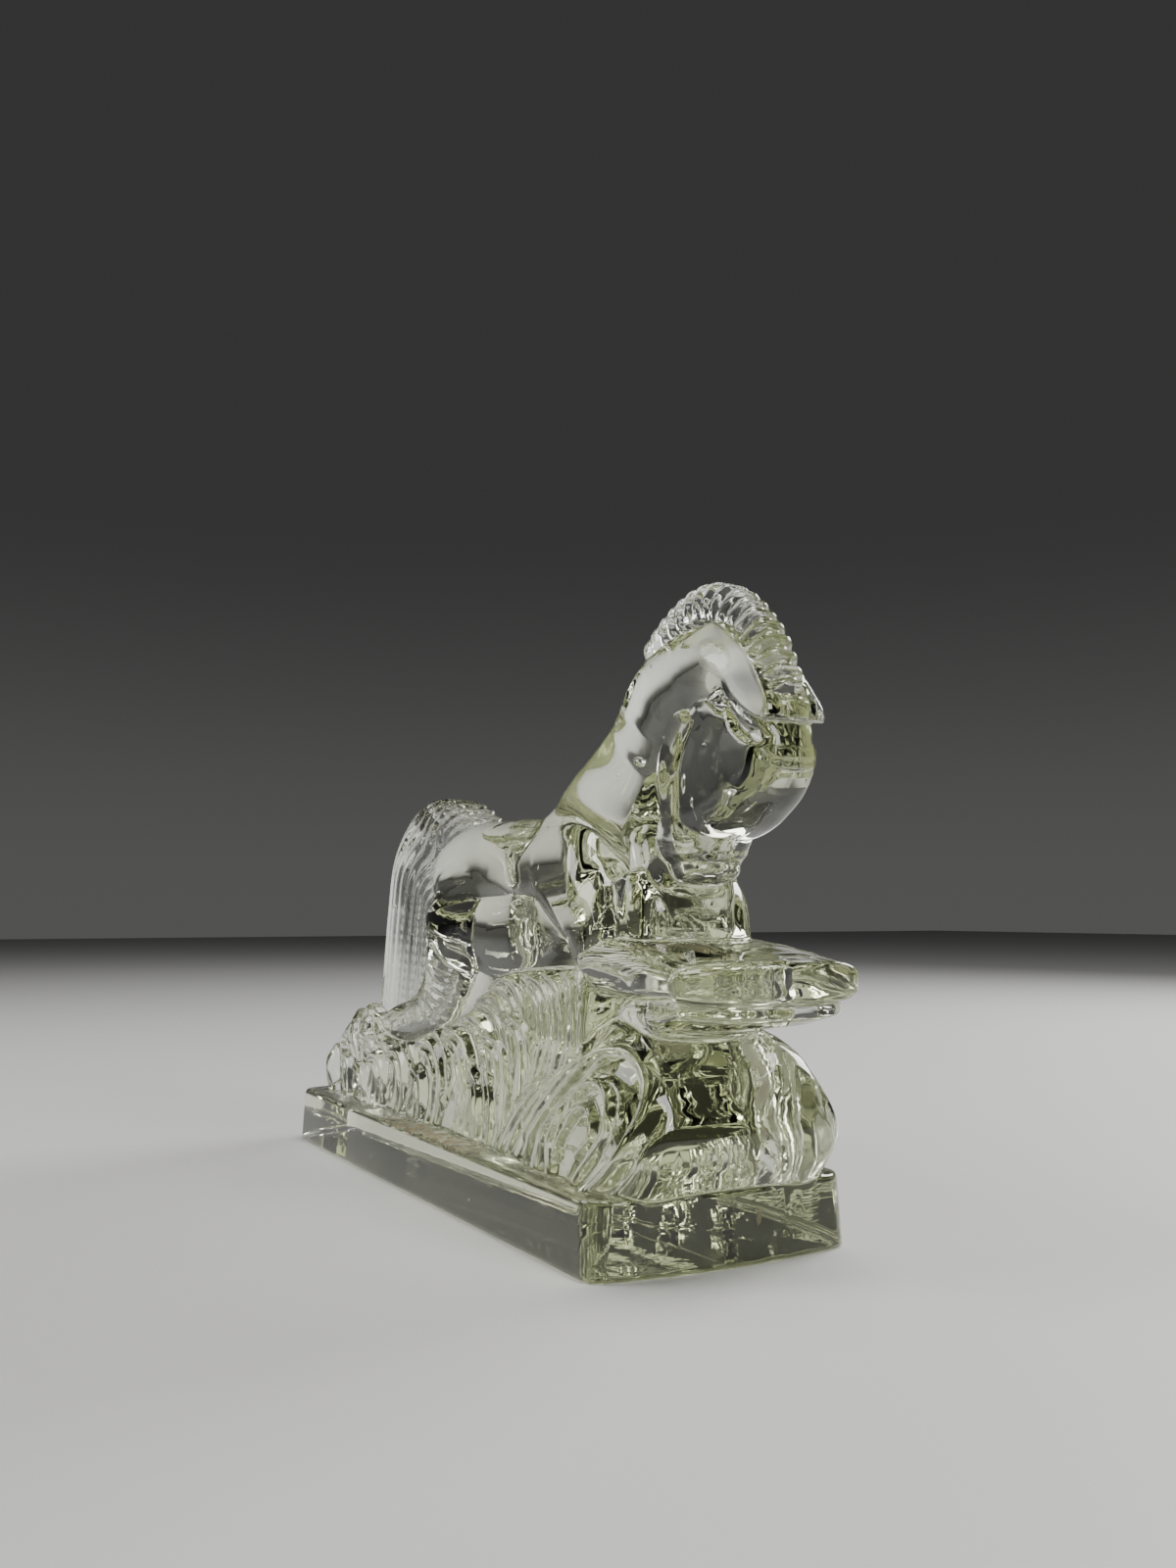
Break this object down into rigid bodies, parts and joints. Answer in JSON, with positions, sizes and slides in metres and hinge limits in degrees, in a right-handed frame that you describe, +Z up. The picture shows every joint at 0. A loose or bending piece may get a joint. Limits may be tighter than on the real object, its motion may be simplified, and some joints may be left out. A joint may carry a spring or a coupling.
{
  "type": "glass horse figurine",
  "caption": "Clear pressed-glass horse leaping over a scrolled wave, with a cut mane and a fluted tail, cast in one with its oblong plinth.",
  "frame": {"origin": "on the flat underside, under the middle of the plinth", "axes": "+X towards the horse's nose, +Y to the horse's left, +Z up"},
  "size_m": [0.2604, 0.076, 0.1675],
  "materials": {
    "glass": "clear, faintly green, fire polished"
  },
  "bodies": {
    "root": {"horse_figurine": "glass"}
  },
  "joints": []
}
